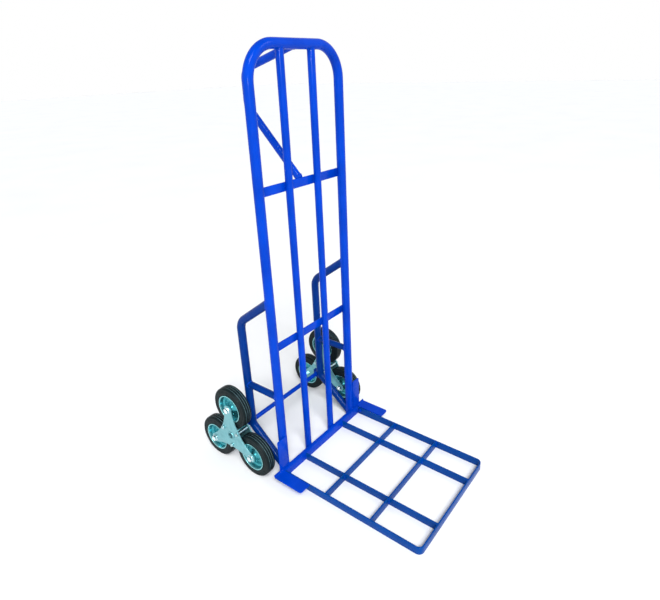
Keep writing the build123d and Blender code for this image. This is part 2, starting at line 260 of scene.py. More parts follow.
def swept(path, section, closed=False, up=None):
    """Rings of a section carried along a path without twisting. The section is (side, up) pairs."""
    path = [Vector(p) for p in path]
    count = len(path)
    rings = []
    normal = None
    for i, point in enumerate(path):
        before = path[i - 1] if i or closed else point
        after = path[(i + 1) % count] if i < count - 1 or closed else point
        forward = (after - before).normalized()
        if up is not None:
            normal = forward.cross(up).normalized()
        elif normal is None:
            normal = forward.orthogonal().normalized()
        else:
            normal = (normal - forward * normal.dot(forward)).normalized()
        binormal = normal.cross(forward)
        stretch = 1.0
        if up is not None and before is not point and after is not point:
            turn = (point - before).angle(after - point)
            stretch = 1 / cos(turn / 2)
        rings.append([point + normal * a * stretch + binormal * b for a, b in section])
    return rings


def circle(radius, count):
    return [(radius * cos(2 * pi * k / count), radius * sin(2 * pi * k / count)) for k in range(count)]


def tube(corners, radius, radii=0.0, count=36):
    return mesh_of(swept(bent(corners, radii), circle(radius, count)))


def flat_bar(path, height, thickness):
    """A flat bar on edge with softened corners, along a level path."""
    a, b = thickness / 2, height / 2
    middle = (0, b, 0)
    outline = bent([middle, (-a, b, 0), (-a, -b, 0), (a, -b, 0), (a, b, 0), middle], BAR_ROUND, 30)
    section = [(p.x, p.y) for p in outline[:-1]]
    return mesh_of(swept(path, section, up=Z_AXIS))


def lathe(profile, count, closed=True):
    """A profile of (x, radius) turned round X. closed means that it is a ring's section."""
    rings = [[Vector((x, r * cos(2 * pi * k / count), r * sin(2 * pi * k / count))) for x, r in profile]
             for k in range(count)]
    bm = bmesh.new()
    rows = [[bm.verts.new(p) for p in ring] for ring in rings]
    length = len(profile)
    for row, after in zip(rows, rows[1:] + rows[:1]):
        for i in range(length if closed else length - 1):
            j = (i + 1) % length
            bm.faces.new((row[i], row[j], after[j], after[i]))
    bmesh.ops.remove_doubles(bm, verts=bm.verts, dist=1e-7)
    bmesh.ops.dissolve_degenerate(bm, dist=1e-8, edges=bm.edges)
    return finish_mesh(bm)


def turned(corners, radii, closed=True, count=72):
    """A lathe profile with rounded corners. A ring's section starts in the middle of a side."""
    flat = [Vector((x, r, 0)) for x, r in corners]
    if closed:
        start = (flat[0] + flat[-1]) / 2
        flat = [start] + flat + [start]
        points = bent(flat, radii, 18)[:-1]
    else:
        points = bent(flat, radii, 18)
    return lathe([(p.x, p.y) for p in points], count, closed)


def rod(low, high, radius, rounds=(0.0, 0.0), count=72):
    """A solid round bar along X, the edges of its two ends rounded as asked."""
    side = [(low, 0.0), (low, radius), (high, radius), (high, 0.0)]
    return turned(side, rounds, closed=False, count=count)


def sleeve(low, high, bore, radius, edge):
    """A ring or short tube along X with softened edges."""
    return turned([(low, bore), (low, radius), (high, radius), (high, bore)], edge)


def to_side(side):
    """What is drawn for the right side, put on either side."""
    return Matrix.Scale(-1, 4, X_AXIS) if side < 0 else Matrix.Identity(4)


def hex_head(across, height, bore=0.0):
    """A hexagon head or nut standing on X = 0, its free face chamfered, its bore open if it has one."""
    half = across / 2
    count = 60
    bm = bmesh.new()
    rows = []
    flat_r = half * 0.94

    def hex_radius(turn):
        return half / cos((turn + pi / 6) % (pi / 3) - pi / 6)

    levels = [("bore", 0.0), ("bore", height), ("flat", height), ("edge", height), ("edge", 0.0)]
    for kind, x in levels:
        row = []
        for k in range(count):
            turn = 2 * pi * k / count
            radius = {"bore": max(bore, 1e-5), "flat": flat_r, "edge": hex_radius(turn)}[kind]
            drop = (radius - flat_r) * tan(radians(28)) if kind == "edge" and x else 0.0
            row.append(bm.verts.new((x - drop, radius * cos(turn), radius * sin(turn))))
        rows.append(row)
    for low, high in zip(rows, rows[1:] + rows[:1]):
        for i in range(count):
            j = (i + 1) % count
            bm.faces.new((low[i], low[j], high[j], high[i]))
    return finish_mesh(bm, 25)


def thread_end(radius, length, pitch=0.0016):
    """The end of a bolt with its thread as close ridges, from X = 0 inward to X = length."""
    profile = [(0.0, 0.0), (0.0, radius * 0.82), (pitch * 0.6, radius * 0.97)]
    x = pitch
    while x < length - pitch:
        profile += [(x, radius * 0.90), (x + pitch / 2, radius * 0.99)]
        x += pitch
    profile += [(length, radius * 0.97), (length, 0.0)]
    return lathe(profile, 36, closed=False)


def plate(outlines, thickness, edge=0.0004):
    """A flat plate in the YZ plane, centred on X = 0, from closed outlines: the rim, then its holes."""
    curve = bpy.data.curves.new("plate", "CURVE")
    curve.dimensions = "2D"
    curve.fill_mode = "BOTH"
    curve.extrude = thickness / 2 - edge
    curve.bevel_depth = edge
    curve.bevel_resolution = 2
    curve.offset = -edge
    for outline in outlines:
        spline = curve.splines.new("POLY")
        spline.points.add(len(outline) - 1)
        for point, (y, z) in zip(spline.points, outline):
            point.co = (y, z, 0, 1)
        spline.use_cyclic_u = True
    holder = bpy.data.objects.new("plate", curve)
    bpy.context.scene.collection.objects.link(holder)
    bpy.context.view_layer.update()
    mesh = bpy.data.meshes.new_from_object(holder.evaluated_get(bpy.context.evaluated_depsgraph_get()))
    bpy.data.objects.remove(holder)
    bpy.data.curves.remove(curve)
    # the curve's X, Y, Z become Y, Z, X
    mesh.transform(Matrix(((0, 0, 1, 0), (1, 0, 0, 0), (0, 1, 0, 0), (0, 0, 0, 1))))
    bm = bmesh.new()
    bm.from_mesh(mesh)
    return finish_mesh(bm, 30)


def ring_outline(radius, centre=(0.0, 0.0), count=40):
    return [(centre[0] + radius * cos(2 * pi * k / count), centre[1] + radius * sin(2 * pi * k / count))
            for k in range(count)]


def block(low, high, edge):
    """A box with softened edges between two corners."""
    bm = bmesh.new()
    bmesh.ops.create_cube(bm, size=1)
    low, high = Vector(low), Vector(high)
    for v in bm.verts:
        v.co = Vector((low[i] + (v.co[i] + 0.5) * (high[i] - low[i]) for i in range(3)))
    bmesh.ops.bevel(bm, geom=bm.edges[:], offset=edge, segments=2, affect="EDGES", profile=0.5)
    return finish_mesh(bm)


# ---- weld beads ----
def bead(path, radius=BEAD_R, closed=False):
    """A weld: a rippled strip of metal laid along a path."""
    path = [Vector(p) for p in path]
    length = sum((b - a).length for a, b in zip(path, path[1:]))
    if closed:
        length += (path[0] - path[-1]).length
    count = max(8, round(length / 0.0008))
    line = resampled(path, count, closed)
    rings = swept(line, circle(radius, 10), closed)
    for i, ring in enumerate(rings):
        ripple = 0.86 + 0.14 * abs(sin(i * 0.8)) + 0.07 * sin(i * 0.23 + length * 900)
        if not closed:
            ripple *= min(1.0, 0.35 + min(i, len(rings) - 1 - i) * 0.22)
        rings[i] = [line[i] + (p - line[i]) * ripple for p in ring]
    return mesh_of(rings, closed=closed)


def resampled(path, count, closed):
    """Points at even distances along a path."""
    loop = path + [path[0]] if closed else path
    lengths = [0.0]
    for a, b in zip(loop, loop[1:]):
        lengths.append(lengths[-1] + (b - a).length)
    points = []
    at = 0
    for k in range(count if closed else count + 1):
        want = lengths[-1] * k / count
        while at < len(lengths) - 2 and lengths[at + 1] < want:
            at += 1
        share = (want - lengths[at]) / max(lengths[at + 1] - lengths[at], 1e-9)
        points.append(loop[at].lerp(loop[at + 1], share))
    return points


def saddle(axis_point, axis, main_r, branch_point, branch, branch_r):
    """Where the surface of a branch tube meets the surface of the tube that it is welded to."""
    axis, branch = Vector(axis).normalized(), Vector(branch).normalized()
    side = branch.cross(axis).normalized()
    lift = branch.cross(side)
    count = 48
    points = []
    for k in range(count):
        turn = 2 * pi * k / count
        start = Vector(branch_point) + (side * cos(turn) + lift * sin(turn)) * branch_r
        gap = start - Vector(axis_point)
        gap -= axis * gap.dot(axis)
        run = branch - axis * branch.dot(axis)
        a, b, c = run.dot(run), 2 * gap.dot(run), gap.dot(gap) - main_r**2
        points.append(start + branch * (-b + sqrt(max(b * b - 4 * a * c, 0.0))) / (2 * a))
    return points


def material(name, slot, build):
    made = bpy.data.materials.new(name)
    made.use_nodes = True
    tree = made.node_tree
    shader = tree.nodes["Principled BSDF"]
    build(tree, shader)
    return made


def node(tree, kind, **values):
    made = tree.nodes.new(kind)
    for key, value in values.items():
        setattr(made, key, value)
    return made


def noise(tree, scale, detail, roughness=0.55, stretch=None):
    """Solid noise in the piece's own coordinates, stretched along an axis if asked."""
    where = node(tree, "ShaderNodeTexCoord")
    out = where.outputs["Object"]
    if stretch:
        mapping = node(tree, "ShaderNodeMapping")
        mapping.inputs["Scale"].default_value = stretch
        tree.links.new(out, mapping.inputs["Vector"])
        out = mapping.outputs["Vector"]
    made = node(tree, "ShaderNodeTexNoise")
    made.inputs["Scale"].default_value = scale
    made.inputs["Detail"].default_value = detail
    made.inputs["Roughness"].default_value = roughness
    tree.links.new(out, made.inputs["Vector"])
    return made.outputs["Fac"]


def ramp(tree, factor, stops):
    """Colours along a factor. Each stop is a place and its colour."""
    made = node(tree, "ShaderNodeValToRGB")
    elements = made.color_ramp.elements
    while len(elements) < len(stops):
        elements.new(0.5)
    for element, (at, colour) in zip(elements, stops):
        element.position = at
        element.color = (*colour, 1)
    tree.links.new(factor, made.inputs["Fac"])
    return made.outputs["Color"]


def grey(tree, factor, low, high, start=0.3, stop=0.7):
    """Maps a factor onto a range of plain values."""
    made = node(tree, "ShaderNodeMapRange")
    for key, value in (("From Min", start), ("From Max", stop), ("To Min", low), ("To Max", high)):
        made.inputs[key].default_value = value
    tree.links.new(factor, made.inputs["Value"])
    return made.outputs["Result"]


def mix(tree, factor, first, second):
    """Mixes two colours. Each input is a socket or a value: 0 is the factor, 6 and 7 are the colours."""
    made = node(tree, "ShaderNodeMix")
    made.data_type = "RGBA"
    for value, key in ((factor, 0), (first, 6), (second, 7)):
        if hasattr(value, "default_value") or hasattr(value, "is_linked"):
            tree.links.new(value, made.inputs[key])
        else:
            made.inputs[key].default_value = value
    return made.outputs[2]


def bump(tree, shader, height, strength, distance, before=None):
    """Adds fine relief to a shader, on top of an earlier relief if one is given."""
    made = node(tree, "ShaderNodeBump")
    made.inputs["Strength"].default_value = strength
    made.inputs["Distance"].default_value = distance
    tree.links.new(height, made.inputs["Height"])
    if before is not None:
        tree.links.new(before, made.inputs["Normal"])
    tree.links.new(made.outputs["Normal"], shader.inputs["Normal"])
    return made.outputs["Normal"]


def painted(deep, bright, scuff):
    """Glossy powder coat: faint orange peel, slow colour drift, and small scuffs."""

    def build(tree, shader):
        drift = noise(tree, 9.0, 3.0)
        colour = ramp(tree, drift, [(0.3, deep), (0.7, bright)])
        specks = grey(tree, noise(tree, 140.0, 8.0, 0.7), 0.0, 1.0, 0.69, 0.74)
        patches = grey(tree, noise(tree, 6.0, 4.0, 0.6), 0.0, 0.5, 0.57, 0.72)
        worn = node(tree, "ShaderNodeMath", operation="MULTIPLY")
        tree.links.new(specks, worn.inputs[0])
        tree.links.new(patches, worn.inputs[1])
        tree.links.new(mix(tree, worn.outputs[0], colour, (*scuff, 1)), shader.inputs["Base Color"])
        tree.links.new(grey(tree, noise(tree, 35.0, 5.0), 0.20, 0.32), shader.inputs["Roughness"])
        peel = bump(tree, shader, noise(tree, 520.0, 2.0, 0.5), 0.08, 0.0005)
        bump(tree, shader, noise(tree, 60.0, 3.0, 0.6), 0.05, 0.002, peel)
        shader.inputs["Specular IOR Level"].default_value = 0.05
        shader.inputs["Specular Tint"].default_value = (0.25, 0.55, 1.0, 1)
        shader.inputs["Coat Weight"].default_value = 0.12
        shader.inputs["Coat Roughness"].default_value = 0.09

    return build


def radius_from_hub(tree):
    """The distance to a wheel's own axis."""
    where = node(tree, "ShaderNodeTexCoord")
    flat = node(tree, "ShaderNodeVectorMath", operation="MULTIPLY")
    flat.inputs[1].default_value = (0, 1, 1)
    tree.links.new(where.outputs["Object"], flat.inputs[0])
    length = node(tree, "ShaderNodeVectorMath", operation="LENGTH")
    tree.links.new(flat.outputs["Vector"], length.inputs[0])
    return length.outputs["Value"]


def plated(dark, light, rough, grain, lip=None, metal=1.0):
    """Blue-passivated zinc: cloudy tint, rolling grain along one way, soft dents. A lip gets a paler band
    past a radius: a painted highlight.
    """

    def build(tree, shader):
        cloud = noise(tree, 32.0, 4.0, 0.55)
        middle = tuple((a + b) / 2 for a, b in zip(dark, light))
        colour = ramp(tree, cloud, [(0.30, dark), (0.50, light), (0.70, middle)])
        if lip:
            # Past this radius the rim's rolled lip is painted paler: a painted highlight.
            edge = grey(tree, radius_from_hub(tree), 0.0, 1.0, lip[0], lip[0] + 0.0016)
            colour = mix(tree, edge, colour, (*lip[1], 1))
        tree.links.new(colour, shader.inputs["Base Color"])
        streak = noise(tree, 90.0, 4.0, 0.6, grain)
        tree.links.new(grey(tree, streak, rough[0], rough[1]), shader.inputs["Roughness"])
        fine = bump(tree, shader, streak, 0.10, 0.0004)
        bump(tree, shader, noise(tree, 24.0, 3.0, 0.5), 0.08, 0.002, fine)
        shader.inputs["Metallic"].default_value = metal

    return build


def rubber(tree, shader):
    """Solid moulded rubber: near black with a green cast, dusty in patches, with pale lines painted along
    the floors of the tread grooves.
    """
    dust = grey(tree, noise(tree, 28.0, 6.0, 0.65), 0.0, 0.6, 0.48, 0.76)
    skin_colour = mix(tree, dust, (0.0015, 0.0070, 0.0085, 1), (0.0080, 0.0240, 0.0290, 1))
    groove = grey(tree, radius_from_hub(tree), 1.0, 0.0, GROOVE_R[0], GROOVE_R[1])
    crown = grey(tree, radius_from_hub(tree), 0.0, 1.0, GROOVE_FLOOR - 0.0004, GROOVE_FLOOR - 0.0003)
    narrow = node(tree, "ShaderNodeMath", operation="MULTIPLY")
    tree.links.new(groove, narrow.inputs[0])
    tree.links.new(crown, narrow.inputs[1])
    where = node(tree, "ShaderNodeTexCoord")
    parts = node(tree, "ShaderNodeSeparateXYZ")
    tree.links.new(where.outputs["Object"], parts.inputs["Vector"])
    across = node(tree, "ShaderNodeMath", operation="ABSOLUTE")
    tree.links.new(parts.outputs["X"], across.inputs[0])
    tread = grey(tree, across.outputs[0], 1.0, 0.0, TREAD_HALF, TREAD_HALF + 0.0004)
    pale = node(tree, "ShaderNodeMath", operation="MULTIPLY")
    tree.links.new(narrow.outputs[0], pale.inputs[0])
    tree.links.new(tread, pale.inputs[1])
    # Pale lines are painted along the floors of the tread grooves.
    colour = mix(tree, pale.outputs[0], skin_colour, (0.20, 0.33, 0.36, 1))
    tree.links.new(colour, shader.inputs["Base Color"])
    tree.links.new(grey(tree, noise(tree, 70.0, 4.0), 0.42, 0.62), shader.inputs["Roughness"])
    skin = bump(tree, shader, noise(tree, 650.0, 3.0, 0.6), 0.16, 0.0005)
    bump(tree, shader, noise(tree, 90.0, 3.0, 0.5), 0.08, 0.001, skin)
    shader.inputs["Specular IOR Level"].default_value = 0.16


def plastic(tree, shader):
    mottle = noise(tree, 40.0, 3.0)
    colour = ramp(tree, mottle, [(0.3, (0.018, 0.018, 0.019)), (0.7, (0.032, 0.032, 0.034))])
    tree.links.new(colour, shader.inputs["Base Color"])
    tree.links.new(grey(tree, noise(tree, 120.0, 4.0), 0.4, 0.6), shader.inputs["Roughness"])
    bump(tree, shader, noise(tree, 800.0, 2.0), 0.15, 0.0004)


SCUFF = (0.10, 0.22, 0.50)
BLUE = material("blue_paint", "blue_paint", painted((0.0, 0.036, 0.385), (0.0, 0.049, 0.50), SCUFF))
# A darker copy of the blue paint for the side frames, struts and gussets: painted shade on the same paint as
# the rest.
SHADED_BLUE = material("shaded_blue_paint", "blue_paint", painted((0.0, 0.023, 0.165), (0.0, 0.032, 0.215), SCUFF))
# A darker copy of the blue paint for the toe grid's bars: painted shade on the same paint as the rest.
SHADED_GRID_BLUE = material("shaded_grid_blue_paint", "blue_paint", painted((0.0, 0.042, 0.22), (0.0, 0.056, 0.29), SCUFF))
WELD = material("welded_paint", "blue_paint", painted((0.0, 0.036, 0.36), (0.0, 0.052, 0.50), SCUFF))
# From this radius out the rim's rolled lip is painted paler: a painted highlight, not a colour of the zinc.
RIM_LIP_HIGHLIGHT = (0.0488, (0.25, 0.58, 0.60))
plate_look = plated((0.15, 0.40, 0.44), (0.21, 0.49, 0.53), (0.30, 0.42), (1, 6, 1), metal=0.8)
rim_look = plated((0.025, 0.25, 0.30), (0.06, 0.37, 0.42), (0.18, 0.32), (4, 1, 1), RIM_LIP_HIGHLIGHT, 0.8)
bright_look = plated((0.70, 0.80, 0.82), (0.90, 0.97, 0.98), (0.12, 0.24), (1, 1, 1))
tie_look = plated((0.30, 0.50, 0.53), (0.46, 0.66, 0.69), (0.26, 0.40), (1, 1, 1))
# Bare steel for the axle ends, painted near-black teal: painted shade of the star hubs' recesses.
recess_shade_look = plated((0.006, 0.025, 0.040), (0.016, 0.055, 0.075), (0.25, 0.40), (1, 3, 1))
PLATE = material("zinc_plate", "zinc_plate", plate_look)
RIM = material("zinc_rim", "zinc_rim", rim_look)
BRIGHT = material("bright_zinc", "zinc_fasteners", bright_look)
TIE = material("dull_zinc", "zinc_fasteners", tie_look)
RECESS_SHADE_STEEL = material("recess_shade_steel", "blue_paint", recess_shade_look)
RUBBER = material("tyre_rubber", "tyre_rubber", rubber)
PLASTIC = material("black_plastic", "black_plastic", plastic)


# ---- back frame: tubes ----
def at_plane(x, y, z):
    """A point from its distances to the middle of the truck, the uprights' plane and the floor."""
    return Vector((x, PLANE_Y + y, z))


frame_welds = []
hoop_line = [at_plane(-UPRIGHT_X, 0, FOOT_Z), at_plane(-UPRIGHT_X, 0, HOOP_Z),
             at_plane(UPRIGHT_X, 0, HOOP_Z), at_plane(UPRIGHT_X, 0, FOOT_Z)]
piece("hoop_tube", tube(hoop_line, HOOP_R, HOOP_BEND, 48), BLUE, "frame", ["main_hoop"])

for name, side in SIDES.items():
    x = side * INNER_X
    line = [at_plane(x, 0, FOOT_Z), at_plane(x, 0, HOOP_Z)]
    piece(f"inner_tube_{name}", tube(line, INNER_R), BLUE, "frame", [f"inner_upright_{name}"])
    frame_welds.append(bead(
        saddle(line[1], X_AXIS, HOOP_R, line[1], (0, 0, -1), INNER_R), closed=True))

for name in ("upper_crossbar", "middle_crossbar"):
    low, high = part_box(name)
    piece(f"{name}_bar", block(low, high, 0.0010), BLUE, "frame", [name])
    for side in SIDES.values():
        for turn in (-1, 1):
            x = side * INNER_X + turn * INNER_R * 0.62
            y = low.y - PLANE_Y - 0.0012
            frame_welds.append(bead([at_plane(x, y, low.z + 0.002), at_plane(x, y, high.z - 0.002)]))
        for y, lift in ((low.y - PLANE_Y, -SEAM_LIFT), (high.y - PLANE_Y, SEAM_LIFT)):
            flank = sqrt(max(HOOP_R**2 - y**2, 0.0))
            x = side * (UPRIGHT_X - flank - SEAM_LIFT)
            seam = [at_plane(x, y + lift, low.z + 0.001), at_plane(x, y + lift, high.z - 0.001)]
            frame_welds.append(bead(seam))

base_low, base_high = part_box("base_angle")
lip_low_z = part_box("grid_rear_bar")[1].z + 0.0004
lip_back_y = PLANE_Y - BASE_BACK
piece(
    "base_lip",
    block((base_low.x, base_low.y, lip_low_z), (base_high.x, lip_back_y + BASE_T, base_high.z), 0.0008),
    BLUE, "frame", ["base_angle"],
)
leg_x = UPRIGHT_X - HOOP_R * 0.4
piece(
    "base_leg",
    block((-leg_x, lip_back_y, base_low.z), (leg_x, lip_back_y + BASE_T, base_high.z - 0.0002), 0.0006),
    BLUE, "frame", ["base_angle"],
)
for side in SIDES.values():
    for turn in (-1, 1):
        x = side * INNER_X + turn * INNER_R * 0.60
        y = lip_back_y + BASE_T + SEAM_LIFT
        frame_welds.append(bead([(x, y, base_low.z + 0.004), (x, y, base_high.z)]))
    arc = [at_plane(side * (UPRIGHT_X - HOOP_R * sin(radians(a))), -HOOP_R * cos(radians(a)), base_high.z)
           for a in range(-16, 41, 4)]
    frame_welds.append(bead(arc, RING_BEAD_R))

# side frames, struts and gussets
# The side tubes, struts and gussets take the darker copy of the blue paint: painted shade.
for name, side in SIDES.items():
    x = side * UPRIGHT_X
    line = [at_plane(x, 0, SIDE_TOP_Z[name]), Vector((x, SIDE_Y, SIDE_KNEE_Z[name])),
            Vector((x, SIDE_Y, SIDE_HEEL_Z)), at_plane(x, 0, SIDE_FOOT_Z)]
    piece(f"side_tube_{name}", tube(line, SIDE_R, SIDE_BENDS), SHADED_BLUE, "frame", [f"side_frame_{name}"])
    strut = [at_plane(x, 0, STRUT_Z), Vector((x, SIDE_Y, STRUT_Z))]
    piece(f"strut_tube_{name}", tube(strut, STRUT_R), SHADED_BLUE, "frame", [f"side_strut_{name}"])
    for start, toward, radius in ((line[0], line[1] - line[0], SIDE_R), (line[3], line[2] - line[3], SIDE_R),
                                  (strut[0], strut[1] - strut[0], STRUT_R)):
        frame_welds.append(bead(saddle(start, Z_AXIS, HOOP_R, start, toward, radius), closed=True))
    frame_welds.append(bead(saddle(strut[1], Z_AXIS, SIDE_R, strut[1], (0, -1, 0), STRUT_R), closed=True))

    low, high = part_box(f"axle_gusset_{name}")
    outline = [(low.y, low.z), (high.y - GUSSET_CUT, low.z), (high.y, low.z + GUSSET_CUT),
               (high.y, high.z - GUSSET_CUT), (high.y - GUSSET_CUT, high.z), (low.y, high.z)]
    piece(f"gusset_{name}", moved(plate([outline], SHEET_T, 0.0005), Matrix.Translation((x, 0, 0))),
          SHADED_BLUE, "frame", [f"axle_gusset_{name}"])
    for turn in (-1, 1):
        centre = Vector((x + turn * (SHEET_T / 2 + SEAM_LIFT), AXLE.y, AXLE.z))
        ring = [centre + Vector((0, cos(t) * (AXLE_R + 0.0008), sin(t) * (AXLE_R + 0.0008)))
                for t in (2 * pi * k / 40 for k in range(40))]
        frame_welds.append(bead(ring, RING_BEAD_R, closed=True))
        seam_x = x + turn * SHEET_T / 2
        seam_y = SIDE_Y + sqrt(SIDE_R**2 - (SHEET_T / 2) ** 2) + SEAM_LIFT
        seam = [(seam_x, seam_y, SIDE_HEEL_Z + 0.001), (seam_x, seam_y, high.z - 0.001)]
        frame_welds.append(bead(seam, THIN_BEAD_R))

# rear handle, closed where it meets the crossbar
bar_back_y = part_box("upper_crossbar")[1].y
handle_corners = [at_plane(0, 0, HOOP_Z), Vector((0, HANDLE_Y, HANDLE_ELBOWS_Z[0])),
                  Vector((0, HANDLE_Y, HANDLE_ELBOWS_Z[1])), at_plane(0, 0, HANDLE_END_Z)]
handle_line = bent(handle_corners, HANDLE_BEND)
handle_rings = swept(handle_line, circle(HANDLE_R, 40))
slope = (handle_corners[2] - handle_corners[3]).normalized()
handle_rings[-1] = [p + slope * (bar_back_y - p.y) / slope.y for p in handle_rings[-1]]
piece("handle_tube", mesh_of(handle_rings), BLUE, "frame", ["rear_handle"])
frame_welds.append(bead(
    saddle(handle_corners[0], X_AXIS, HOOP_R, handle_corners[0],
           handle_corners[1] - handle_corners[0], HANDLE_R), closed=True))
frame_welds.append(bead([p + Vector((0, SEAM_LIFT, 0)) for p in handle_rings[-1]], closed=True))

# plugs under the uprights
plug_parts = []
for side in SIDES.values():
    plug = rod(0.0, FOOT_Z, HOOP_R, (0.0012, 0.0006), 48)
    foot = Matrix.Translation((side * UPRIGHT_X, PLANE_Y, 0))
    plug_parts.append(moved(plug, foot @ ON_END))
piece("foot_plugs", joined(plug_parts), PLASTIC, "frame", ["upright_plugs"])


# ---- toe brackets: cheek on the upright, bent tab beside the grid ----
def tab_mesh(side, inner, outer, front_y, rear_y, top_z):
    """The tab, its bend and its short upturn: a sheet bent along X, its outer front corner round."""
    count = 24
    bend_y = rear_y - front_y - SHEET_T
    profile = bent([(0, 0, 0), (0, bend_y, 0), (0, bend_y, UPTURN)], TAB_BEND, 12)
    rings = []
    for k in range(count + 1):
        share = k / count
        reach = inner + (outer - inner) * (1 - (1 - share) ** 2 if share > 0.5 else share * 1.5)
        from_corner = max(0.0, reach - (outer - TAB_CORNER))
        cut = TAB_CORNER - sqrt(max(TAB_CORNER**2 - from_corner**2, 0.0))
        row_top, row_under = [], []
        for i, p in enumerate(profile):
            after = profile[min(i + 1, len(profile) - 1)]
            before = profile[max(i - 1, 0)]
            along = (after - before).normalized()
            up = Vector((0, -along.z, along.y))
            y = max(p.y, cut) if i == 0 else p.y
            spot = Vector((side * reach, front_y + y, top_z + p.z))
            row_top.append(spot)
            row_under.append(spot - up * SHEET_T)
        rings.append(row_top + row_under[::-1])
    return mesh_of(rings)


lug_low, lug_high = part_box("hinge_lugs")
lug_out = lug_high.x
for name, side in SIDES.items():
    low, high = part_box(f"toe_bracket_{name}")
    outer = max(abs(low.x), abs(high.x))
    inner = max(abs(lug_low.x), abs(lug_high.x)) - SHEET_T - 0.0005
    top_z = low.z + SHEET_T
    tab = tab_mesh(side, inner, outer, low.y, high.y, top_z)
    piece(f"toe_tab_{name}", tab, BLUE, "frame", [f"toe_bracket_{name}"], bevel=0.0006)
    cheek_in = min(abs(low.x), abs(high.x))
    cheek_out = cheek_in + CHEEK_W
    cheek_low = top_z + TAB_BEND
    notch_z = top_z + UPTURN - 0.0003
    cheek_outline = bent(
        [(cheek_in, cheek_low, 0), (cheek_in, high.z, 0), (cheek_out, high.z, 0),
         (cheek_out, notch_z, 0), (inner, notch_z, 0), (inner, cheek_low, 0)],
        [CHEEK_ROUND, CHEEK_ROUND, 0, 0], 15)
    cheek = plate([[(p.x, p.y) for p in cheek_outline]], SHEET_T, 0.0005)
    # the plate's Y and Z become X and Z, its thickness Y
    stand = Matrix(((0, side, 0, 0), (1, 0, 0, high.y - SHEET_T / 2), (0, 0, 1, 0), (0, 0, 0, 1)))
    piece(f"toe_cheek_{name}", moved(cheek, stand), BLUE, "frame", [f"toe_bracket_{name}"])
    flank = side * (UPRIGHT_X + HOOP_R * 0.5)
    seam_y = high.y + 0.0012
    frame_welds.append(bead([(flank, seam_y, cheek_low + 0.004), (flank, seam_y, high.z - 0.006)]))
    edge_x, edge_y = side * (cheek_in + 0.001), high.y + 0.0004
    edge = [(edge_x, edge_y, cheek_low + 0.004), (edge_x, edge_y, high.z - 0.008)]
    frame_welds.append(bead(edge, THIN_BEAD_R))

# hinge lugs, bolts and nuts
bolt_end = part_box("hinge_bolts")[1].x
head_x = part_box("grid_rim")[1].x - BAR_T - 0.0005
lug_parts, hinge_bolt_parts, hinge_nut_parts = [], [], []
for name, side in SIDES.items():
    mirror = to_side(side)
    lug_outline = bent([(lug_low.y, lug_high.z, 0), (lug_low.y, lug_low.z, 0), (lug_high.y, lug_low.z, 0),
                        (lug_high.y, lug_high.z, 0)], LUG_ROUND, 12)
    hinge_hole = ring_outline(HINGE_HOLE_R, (HINGE.y, HINGE.z))
    lug = plate([[(p.x, p.y) for p in lug_outline], hinge_hole], SHEET_T)
    lug_parts.append(moved(lug, mirror @ Matrix.Translation((lug_out - SHEET_T / 2, 0, 0))))
    place = mirror @ Matrix.Translation((0, HINGE.y, HINGE.z))
    head = hex_head(HINGE_HEX, HINGE_HEAD_H)
    hinge_bolt_parts.append(moved(head, place @ Matrix.Translation((head_x, 0, 0)) @ TURN_ABOUT))
    hinge_bolt_parts.append(moved(rod(head_x, lug_out, HINGE_R), place))
    end = thread_end(HINGE_R, bolt_end - lug_out, 0.0012)
    hinge_bolt_parts.append(moved(end, place @ Matrix.Translation((bolt_end, 0, 0)) @ TURN_ABOUT))
    nut = hex_head(HINGE_HEX, HINGE_NUT_H, HINGE_HOLE_R)
    hinge_nut_parts.append(moved(nut, place @ Matrix.Translation((lug_out, 0, 0))))
    seam_x, seam_z = side * (lug_out + SEAM_LIFT), lug_high.z - SEAM_LIFT
    seam = [(seam_x, lug_low.y + 0.002, seam_z), (seam_x, lug_high.y - 0.002, seam_z)]
    frame_welds.append(bead(seam, THIN_BEAD_R))
piece("hinge_lug_plates", joined(lug_parts), BLUE, "frame", ["hinge_lugs"])
piece("hinge_bolt_set", joined(hinge_bolt_parts), BLUE, "frame", ["hinge_bolts"])
piece("hinge_nut_set", joined(hinge_nut_parts), BLUE, "frame", ["hinge_nuts"])
piece("frame_welds", joined(frame_welds), WELD, "frame")

# ---- axle, collars, washers, circlips ----
bare_from = min(abs(c.x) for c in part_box("star_hub_right"))
at_axle = Matrix.Translation((0, AXLE.y, AXLE.z))
axle_middle = rod(-bare_from, bare_from, AXLE_R)
piece("axle_bar", moved(axle_middle, at_axle), BLUE, "frame", ["axle"])
# The bare steel axle ends take the near-black material, whose darkness is painted shade of the hub recess.
bare_end = rod(bare_from, axle_high.x, AXLE_R, (0.0, 0.0014))
both_ends = joined([moved(bare_end, at_axle @ to_side(side)) for side in (1, -1)])
piece("axle_ends", both_ends, RECESS_SHADE_STEEL, "frame", ["axle"])
for node_name, new_name, metal, ring_w in (
    ("axle_collars", "set_collars", BLUE, COLLAR_W),
    ("axle_washers", "thrust_washers", BRIGHT, WASHER_W),
):
    low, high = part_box(node_name)
    outer_r = (high.z - low.z) / 2
    ring = sleeve(0, ring_w, AXLE_R, outer_r, 0.0005)
    parts = [moved(ring, Matrix.Translation((x, AXLE.y, AXLE.z))) for x in (high.x - ring_w, low.x)]
    if node_name == "axle_collars":
        screw = turned(
            [(0, 0.0012), (0, SCREW_R), (0.0012, SCREW_R), (0.0012, 0.0)], 0.0, closed=False, count=24)
        for x in (high.x - ring_w / 2, low.x + ring_w / 2):
            top = Matrix.Translation((x, AXLE.y, AXLE.z + outer_r - 0.0009))
            parts.append(moved(screw, top @ ON_END))
    piece(new_name, joined(parts), metal, "frame", [node_name])

